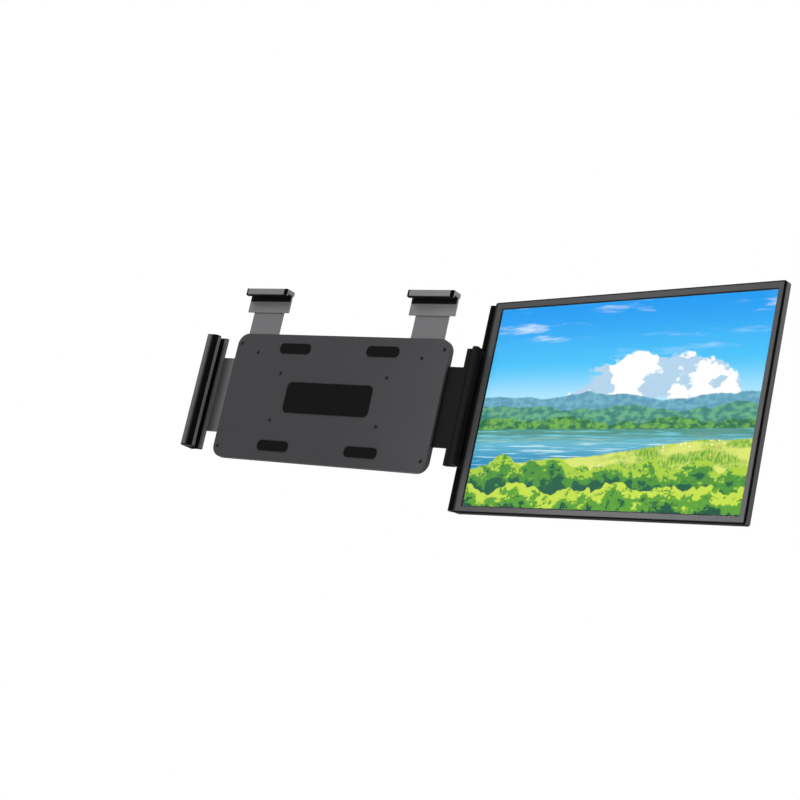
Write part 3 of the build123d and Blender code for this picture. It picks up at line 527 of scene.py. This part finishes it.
def lit_screen(name):
    """Lit cell: the picture inside its edges, and round it a dark mask that glows a little, painted light
    in the place of the lamp light that the cover glass keeps off it.
    """
    art = Picture(name)
    colour = shrubs(art, meadow(art, lake(art, ridges(art, clouds(art, sky(art))))))
    edge = (-picture_blur, picture_blur)
    inside = art.both(art.fade(art.across, 0.0, edge), art.fade(art.up, 0.0, edge))
    past_right = art.fade(art.across, picture_aspect, edge)
    past_top = art.fade(art.up, 1.0, edge)
    inside = art.both(inside, art.other(art.math("MAXIMUM", past_right, past_top)))
    art.set(Base_Color=(0.004, 0.004, 0.004, 1.0), Roughness=0.4, Specular_IOR_Level=0.0)
    # The mask's grey glow round the picture is painted light, standing in for lamp light
    art.set(Emission_Color=art.mix(inside, tint(44, 44, 45), colour), Emission_Strength=screen_glow)
    return art.material


plastic_bezel = bezel_plastic("bezel_plastic")
plastic_shell = shell_plastic("shell_plastic")
plastic_left_clip = left_clip_plastic("left_clip_plastic")
plastic_housing = moulded_plastic("housing_plastic", tint(74, 74, 76), 0.52, 1900.0)
plastic_hook_left = hook_plastic("hook_plastic_left", "hook_clip_left")
plastic_hook_right = hook_plastic("hook_plastic_right", "hook_clip_right")
plastic_button = moulded_plastic("button_plastic", tint(40, 40, 41), 0.36, 3000.0)
rubber = soft_rubber("liner_rubber", tint(10, 10, 10))
arm_steel = sheet_metal("arm_steel", tint(120, 120, 122), 0.38, (0.03, 1.0, 1.0), 0.7)
plated = sheet_metal("plated_steel", tint(205, 205, 206), 0.26, (1.0, 1.0, 0.1))
dark_steel = sheet_metal("black_steel", tint(48, 48, 50), 0.34, (1.0, 1.0, 0.1), 0.8)
hinge_black = blasted_metal("hinge_casting", tint(9, 9, 9), 0.5)
bronze = sheet_metal("sleeve_bronze", tint(176, 132, 72), 0.32, (1.0, 1.0, 0.2))
tray_metal = sheet_metal("tray_aluminium", tint(190, 190, 192), 0.35, (0.03, 1.0, 1.0))
board_green = circuit_board("board_mask")
ribbon_amber = amber_film("ribbon_film")
film_white = pale_film("diffuser_white", tint(236, 238, 240), 0.5)
guide_clear = pale_film("guide_acrylic", tint(214, 226, 230), 0.12)
glass = touch_glass("touch_glass")
screen = lit_screen("screen_picture")

finishes = {
    plastic_bezel: ("monitor_front_bezel",),
    plastic_shell: ("monitor_rear_shell",),
    plastic_housing: ("bracket_front_plate", "bracket_rear_cover"),
    plastic_left_clip: ("left_clip",),
    plastic_hook_left: ("hook_clip_left",),
    plastic_hook_right: ("hook_clip_right",),
    plastic_button: ("power_button", "plus_button", "minus_button"),
    rubber: (
        "lid_rest_pads", "fold_bumpers", "right_clip_liner", "left_clip_liner", "hook_clip_liner_left",
        "hook_clip_liner_right", "glass_gasket",
    ),
    arm_steel: ("left_arm_plate", "hook_arm_plate_left", "hook_arm_plate_right"),
    plated: (
        "arm_leaf_springs", "right_arm_screws", "left_clip_screws", "hook_clip_screws_left",
        "hook_clip_screws_right", "board_shield_can", "usb_c_sockets", "mini_hdmi_socket", "board_screws",
        "hinge_shafts", "hinge_leaf_screws",
    ),
    dark_steel: ("bracket_screws", "rear_shell_screws", "push_switches"),
    hinge_black: ("right_hinge_arm", "hinge_leaf_upper", "hinge_leaf_lower"),
    bronze: ("hinge_friction_sleeves",),
    tray_metal: ("panel_tray",),
    board_green: ("main_board", "button_board"),
    ribbon_amber: ("panel_ribbon", "touch_ribbon", "button_ribbon"),
    film_white: ("diffuser_films", "led_light_bar"),
    guide_clear: ("light_guide_plate",),
    glass: ("touch_cover_glass",),
    screen: ("lcd_cell",),
}
for finish, names in finishes.items():
    for name in names:
        mesh = nodes[name].data
        mesh.materials.clear()
        mesh.materials.append(finish)

# Screws that show get a cross recess, which the plain solids leave out

screw_sides = 40
screw_apart = 0.010         # points nearer than this, seen along the screws, are one screw
same_level = 0.00001
screw_bevel = 0.06          # the recess's and the bevel's sizes are shares of the head's radius
recess_mouth = (0.60, 0.15)
recess_floor = (0.42, 0.11)
recess_depth = 0.42
crease = math.radians(35.0)
along_bracket = Vector((0.0, 1.0, 0.0))
along_monitor = Vector((math.sin(rest_turn), math.cos(rest_turn), 0.0))


def screw_places(mesh, along):
    """Head centre, direction into the work, head radius, shank radius and length of each screw."""
    across = Vector((along.y, -along.x, 0.0))
    groups = []
    for vertex in mesh.vertices:
        point = Vector((vertex.co.dot(across), vertex.co.z, vertex.co.dot(along)))
        for group in groups:
            if (point.xy - group[0].xy).length < screw_apart:
                group.append(point)
                break
        else:
            groups.append([point])
    for group in groups:
        low = Vector(min(point[axis] for point in group) for axis in range(3))
        high = Vector(max(point[axis] for point in group) for axis in range(3))
        middle = (low + high) / 2
        ends = {}
        for end in (low.z, high.z):
            there = [point for point in group if abs(point.z - end) < same_level]
            ends[end] = max((point.xy - middle.xy).length for point in there)
        face = max(ends, key=ends.get)
        tip = low.z + high.z - face
        inward = along if tip > face else -along
        centre = across * middle.x + Vector((0.0, 0.0, middle.y)) + along * face
        yield centre, inward, ends[face], ends[tip], abs(tip - face)


def add_screw(mesh, centre, inward, head, shank, length):
    """Countersunk screw: bevelled face, cross recess with leaning walls, cone and shank."""
    across = Vector((inward.y, -inward.x, 0.0))
    upright = Vector((0.0, 0.0, 1.0))

    def loop(outline, depth):
        return [mesh.verts.new(centre + across * x + upright * z + inward * depth) for x, z in outline]

    def circle(radius):
        steps = [2 * math.pi * number / screw_sides for number in range(screw_sides)]
        return [(radius * math.cos(step), radius * math.sin(step)) for step in steps]

    def cross(reach_share, half_share):
        reach = reach_share * head
        half = half_share * head
        quarter = [(reach, -half), (reach, half), (half, half)]
        return [
            (x * math.cos(turn) - z * math.sin(turn), x * math.sin(turn) + z * math.cos(turn))
            for turn in (0.0, math.pi / 2, math.pi, 1.5 * math.pi)
            for x, z in quarter
        ]

    def edges(ring):
        return [mesh.edges.new((ring[number - 1], ring[number])) for number in range(len(ring))]

    def skin(first, second):
        for number in range(len(first)):
            mesh.faces.new((first[number - 1], first[number], second[number], second[number - 1]))

    bevel = screw_bevel * head
    rim = loop(circle(head - bevel), 0.0)
    mouth = loop(cross(*recess_mouth), 0.0)
    bottom = loop(cross(*recess_floor), recess_depth * head)
    bmesh.ops.triangle_fill(mesh, use_beauty=True, edges=edges(rim) + edges(mouth))
    skin(mouth, bottom)
    mesh.faces.new(bottom)
    outline = (
        (head, bevel),
        (shank, head - shank + bevel),
        (shank, length - bevel),
        (shank - bevel, length),
    )
    rings = [rim] + [loop(circle(radius), depth) for radius, depth in outline]
    for first, second in zip(rings, rings[1:]):
        skin(first, second)
    mesh.faces.new(rings[-1])


def dress_screws(node, body, along, finish):
    """Stand screws with a cross recess in the place of a node's plain ones."""
    shape = bmesh.new()
    for place in screw_places(nodes[node].data, along):
        add_screw(shape, *place)
    bmesh.ops.recalc_face_normals(shape, faces=shape.faces)
    mesh = bpy.data.meshes.new(node + "_cross")
    shape.to_mesh(mesh)
    shape.free()
    mesh.shade_smooth()
    mesh.set_sharp_from_angle(angle=crease)
    mesh.materials.append(finish)
    piece = bpy.data.objects.new(node + "_cross", mesh)
    scene.collection.objects.link(piece)
    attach(piece, body)
    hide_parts(node)


dress_screws("bracket_screws", "bracket", along_bracket, dark_steel)
dress_screws("left_clip_screws", "left_slide", along_bracket, plated)
dress_screws("hook_clip_screws_left", "hook_slide_left", along_bracket, plated)
dress_screws("hook_clip_screws_right", "hook_slide_right", along_bracket, plated)
dress_screws("rear_shell_screws", "monitor", along_monitor, dark_steel)

# Stage, light and camera

scene.view_settings.view_transform = "Standard"

floor_level = -0.6
floor_reach = 12.0
shadow_near = 0.75          # distances from the middle of the object
shadow_far = 1.9
sky_strength = 0.40


def white_to_view(tree, shader, kind):
    """Show plain white to the camera, reflections and glass, and the given shader to light."""
    path = tree.nodes.new("ShaderNodeLightPath")
    seen = path.outputs["Is Camera Ray"]
    for word in ("Is Glossy Ray", "Is Transmission Ray"):
        either = tree.nodes.new("ShaderNodeMath")
        either.operation = "MAXIMUM"
        tree.links.new(seen, either.inputs[0])
        tree.links.new(path.outputs[word], either.inputs[1])
        seen = either.outputs[0]
    white = tree.nodes.new(kind)
    white.inputs["Color"].default_value = (1.0, 1.0, 1.0, 1.0)
    white.inputs["Strength"].default_value = 1.0
    choice = tree.nodes.new("ShaderNodeMixShader")
    tree.links.new(seen, choice.inputs[0])
    tree.links.new(shader, choice.inputs[1])
    tree.links.new(white.outputs[0], choice.inputs[2])
    return choice.outputs[0]


world = bpy.data.worlds.new("studio")
scene.world = world
world.use_nodes = True
sky_light = world.node_tree.nodes["Background"]
sky_light.inputs["Color"].default_value = (1.0, 1.0, 1.0, 1.0)
sky_light.inputs["Strength"].default_value = sky_strength
world_output = world.node_tree.nodes["World Output"]
shown = white_to_view(world.node_tree, sky_light.outputs[0], "ShaderNodeBackground")
world.node_tree.links.new(shown, world_output.inputs["Surface"])


def floor_paint():
    """Pale paint that takes the shadow near the object and turns to plain white further out."""
    paint = Shader("floor_paint")
    paint.set(Base_Color=(0.9, 0.9, 0.9, 1.0), Roughness=0.9)
    painted = paint.surface.outputs[0]
    span = paint.node("ShaderNodeVectorMath", operation="DISTANCE")
    paint.put(span.inputs[0], paint.place())
    paint.put(span.inputs[1], (cad_box[0] + cad_box[1]) / 2)
    blend = paint.node("ShaderNodeMixShader")
    paint.put(blend.inputs[0], paint.smooth(span.outputs["Value"], shadow_near, shadow_far))
    paint.put(blend.inputs[1], painted)
    paint.put(blend.inputs[2], white_to_view(paint.tree, painted, "ShaderNodeEmission"))
    paint.put(paint.tree.nodes["Material Output"].inputs["Surface"], blend.outputs[0])
    return paint.material


floor_corners = [(-floor_reach, -floor_reach), (floor_reach, -floor_reach)]
floor_corners += [(floor_reach, floor_reach), (-floor_reach, floor_reach)]
floor_mesh = bpy.data.meshes.new("floor")
floor_mesh.from_pydata([(x, y, floor_level) for x, y in floor_corners], [], [(0, 1, 2, 3)])
floor_mesh.materials.append(floor_paint())
floor = bpy.data.objects.new("floor", floor_mesh)
scene.collection.objects.link(floor)


def area_light(name, place, target, size, power, spread=180.0):
    """Soft lamp that shines towards a target and leaves no mirror image in the screen."""
    lamp = bpy.data.lights.new(name, "AREA")
    lamp.shape = "RECTANGLE"
    lamp.size, lamp.size_y = size
    lamp.energy = power
    lamp.spread = math.radians(spread)
    piece = bpy.data.objects.new(name, lamp)
    piece.visible_glossy = False
    piece.location = place
    piece.rotation_euler = (Vector(target) - Vector(place)).to_track_quat("-Z", "Y").to_euler()
    scene.collection.objects.link(piece)


area_light("key_light", (-0.95, -1.05, 1.35), (-0.05, 0.0, 0.05), (1.0, 0.8), 20.0)
area_light("low_light", (0.42, -0.50, -0.46), (0.43, -0.03, -0.12), (0.3, 0.2), 0.85, 52.0)
area_light("side_light", (0.70, -0.10, 0.42), (0.545, -0.06, 0.0), (0.2, 0.2), 2.6)
area_light("back_light", (0.3, 1.7, 1.2), (0.1, 0.0, 0.0), (1.4, 1.0), 16.0)

camera_data = bpy.data.cameras.new("camera")
camera_data.sensor_width = 36.0
camera_data.lens = 77.2
camera_data.clip_end = 100.0
camera = bpy.data.objects.new("camera", camera_data)
scene.collection.objects.link(camera)
camera.location = (1.1787, -1.4521, -0.4124)
camera_turn = math.radians(36.61)
camera_tilt = math.radians(12.95)
camera_roll = math.radians(12.53)
look = Euler((math.pi / 2 + camera_tilt, 0.0, camera_turn)).to_matrix()
camera.rotation_euler = (look @ Matrix.Rotation(camera_roll, 3, "Z")).to_euler()
scene.camera = camera
